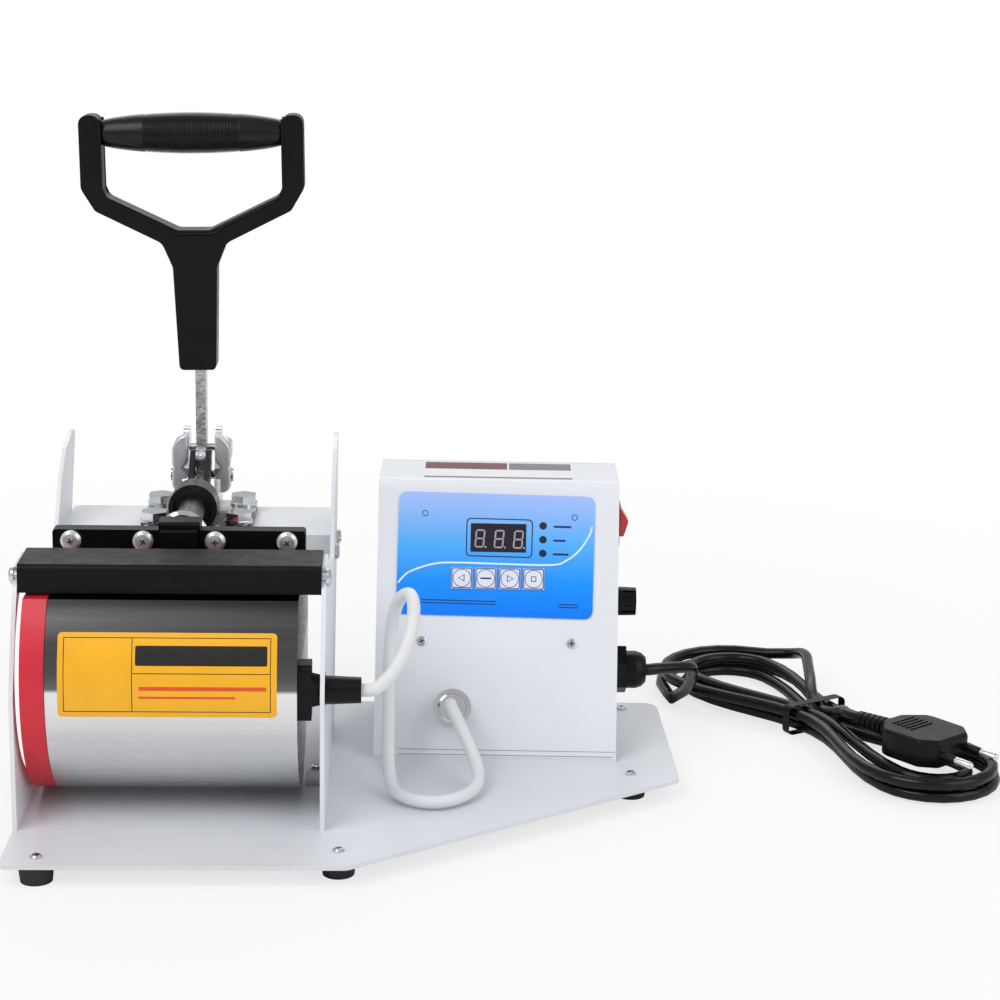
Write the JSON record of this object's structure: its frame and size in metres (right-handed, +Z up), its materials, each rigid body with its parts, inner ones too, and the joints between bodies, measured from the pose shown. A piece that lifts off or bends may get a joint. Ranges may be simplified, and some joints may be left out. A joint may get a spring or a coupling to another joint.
{
  "type": "mug heat press",
  "caption": "Table-top heat press for mugs: a horizontal clamp-on heater between side plates, a push-pull lever clamp and a control box on one base.",
  "frame": {"origin": "on the table, under the middle of the machine's outline without its leads", "axes": "+Z up, front of the machine towards -Y, control box towards +X, lever swings towards -Y"},
  "size_m": [0.4668, 0.3092, 0.312],
  "materials": {
    "white_paint": "white powder coat",
    "black_paint": "black powder coat, satin",
    "jacket_steel": "brushed stainless sheet",
    "zinc": "bright zinc plated steel",
    "cast_steel": "zinc plated casting",
    "dark_steel": "blackened steel",
    "spring_steel": "plain spring steel",
    "silicone": "red silicone rubber",
    "felt": "ceramic fibre felt",
    "rubber": "black rubber",
    "black_plastic": "black moulded plastic",
    "grip_plastic": "black moulded plastic, ribbed",
    "panel_blue": "blue printed film",
    "window": "smoked display window",
    "lamp": "clear lamp, unlit",
    "switch_red": "red rocker",
    "chrome": "nickel plated",
    "board": "green circuit board",
    "copper": "wound coil in tape",
    "white_lead": "white insulated lead",
    "brass": "nickel plated brass pins"
  },
  "bodies": {
    "root": {"base_plate": "white_paint", "rubber_feet": "rubber", "foot_screws": "zinc", "foot_nuts": "zinc", "left_side_plate": "white_paint", "right_side_plate": "white_paint", "base_screws": "dark_steel", "side_screws": "dark_steel", "front_guard": "black_paint", "front_bar": "black_paint", "front_bar_screws": "zinc", "heater_jacket": "jacket_steel", "insulation_felt": "felt", "heater_band": "spring_steel", "heating_mat": "silicone", "cable_boot": "black_plastic", "rear_bridge": "white_paint", "clamp_body": "cast_steel", "clamp_bolts": "zinc", "clamp_nuts": "zinc", "pivot_pin": "zinc", "stop_pin": "zinc", "box_shell": "white_paint", "box_tray": "white_paint", "printed_panel": "panel_blue", "display_window": "window", "indicator_lamps": "lamp", "panel_screws": "zinc", "control_board": "board", "transformer": "copper", "power_relay": "dark_steel", "rocker_bezel": "black_plastic", "fuse_holder": "black_plastic", "panel_socket": "chrome", "lead_plug": "chrome", "cable_gland": "black_plastic", "heater_lead": "white_lead", "mains_lead": "rubber", "mains_hank": "rubber", "cord_tie": "black_plastic", "mains_plug": "black_plastic"},
    "lever": {"lever": "zinc", "link_pin": "zinc", "handle_frame": "black_plastic", "handle_grip": "grip_plastic", "grip_bolts": "dark_steel"},
    "links": {"link_plates": "dark_steel"},
    "press_slide": {"moving_bar": "black_paint", "moving_bar_screws": "zinc", "push_block": "black_paint", "plunger": "zinc", "plunger_pin": "zinc"},
    "wheel": {"adjusting_wheel": "chrome"},
    "rocker": {"rocker_switch": "switch_red"},
    "fuse_knob": {"fuse_cap": "black_plastic"},
    "left_key": {"key_left": "panel_blue"},
    "mode_key": {"key_mode": "panel_blue"},
    "right_key": {"key_right": "panel_blue"},
    "stop_key": {"key_stop": "panel_blue"}
  },
  "joints": [
    {"name": "lever_swing", "type": "hinge", "parent": "root", "child": "lever", "pos_m": [-0.0823, 0.10425, 0.1285], "axis": [1, 0, 0], "range_deg": [0, 65]},
    {"name": "press_travel", "type": "slide", "parent": "root", "child": "press_slide", "axis": [0, -1, 0], "range_m": [0, 0.01057], "deforming": ["heater_band"]},
    {"name": "link_swing", "type": "hinge", "parent": "lever", "child": "links", "pos_m": [-0.0823, 0.09825, 0.13889], "axis": [1, 0, 0], "range_deg": [-94.83, 0]},
    {"name": "wheel_turn", "type": "hinge", "parent": "press_slide", "child": "wheel", "pos_m": [-0.0823, -0.00375, 0.1245], "axis": [0, 1, 0], "continuous": true},
    {"name": "rocker_tilt", "type": "hinge", "parent": "root", "child": "rocker", "pos_m": [0.12381, 0.05427, 0.1185], "axis": [0.0349, 0.9994, 0], "range_deg": [0, 16]},
    {"name": "fuse_cap_turn", "type": "hinge", "parent": "root", "child": "fuse_knob", "pos_m": [0.12681, 0.05416, 0.0773], "axis": [0.9994, -0.0349, 0], "range_deg": [0, 90]},
    {"name": "left_key_press", "type": "slide", "parent": "root", "child": "left_key", "axis": [0.0332, 0.9497, -0.3113], "range_m": [0, 0.0004], "stiffness_N_per_m": 200},
    {"name": "mode_key_press", "type": "slide", "parent": "root", "child": "mode_key", "axis": [0.0332, 0.9497, -0.3113], "range_m": [0, 0.0004], "stiffness_N_per_m": 200},
    {"name": "right_key_press", "type": "slide", "parent": "root", "child": "right_key", "axis": [0.0332, 0.9497, -0.3113], "range_m": [0, 0.0004], "stiffness_N_per_m": 200},
    {"name": "stop_key_press", "type": "slide", "parent": "root", "child": "stop_key", "axis": [0.0332, 0.9497, -0.3113], "range_m": [0, 0.0004], "stiffness_N_per_m": 200}
  ],
  "couplings": [
    {"joint": "press_travel", "follows": "lever_swing", "m_per_rad": 0.0093137},
    {"joint": "link_swing", "follows": "lever_swing", "ratio": -1.4581}
  ]
}
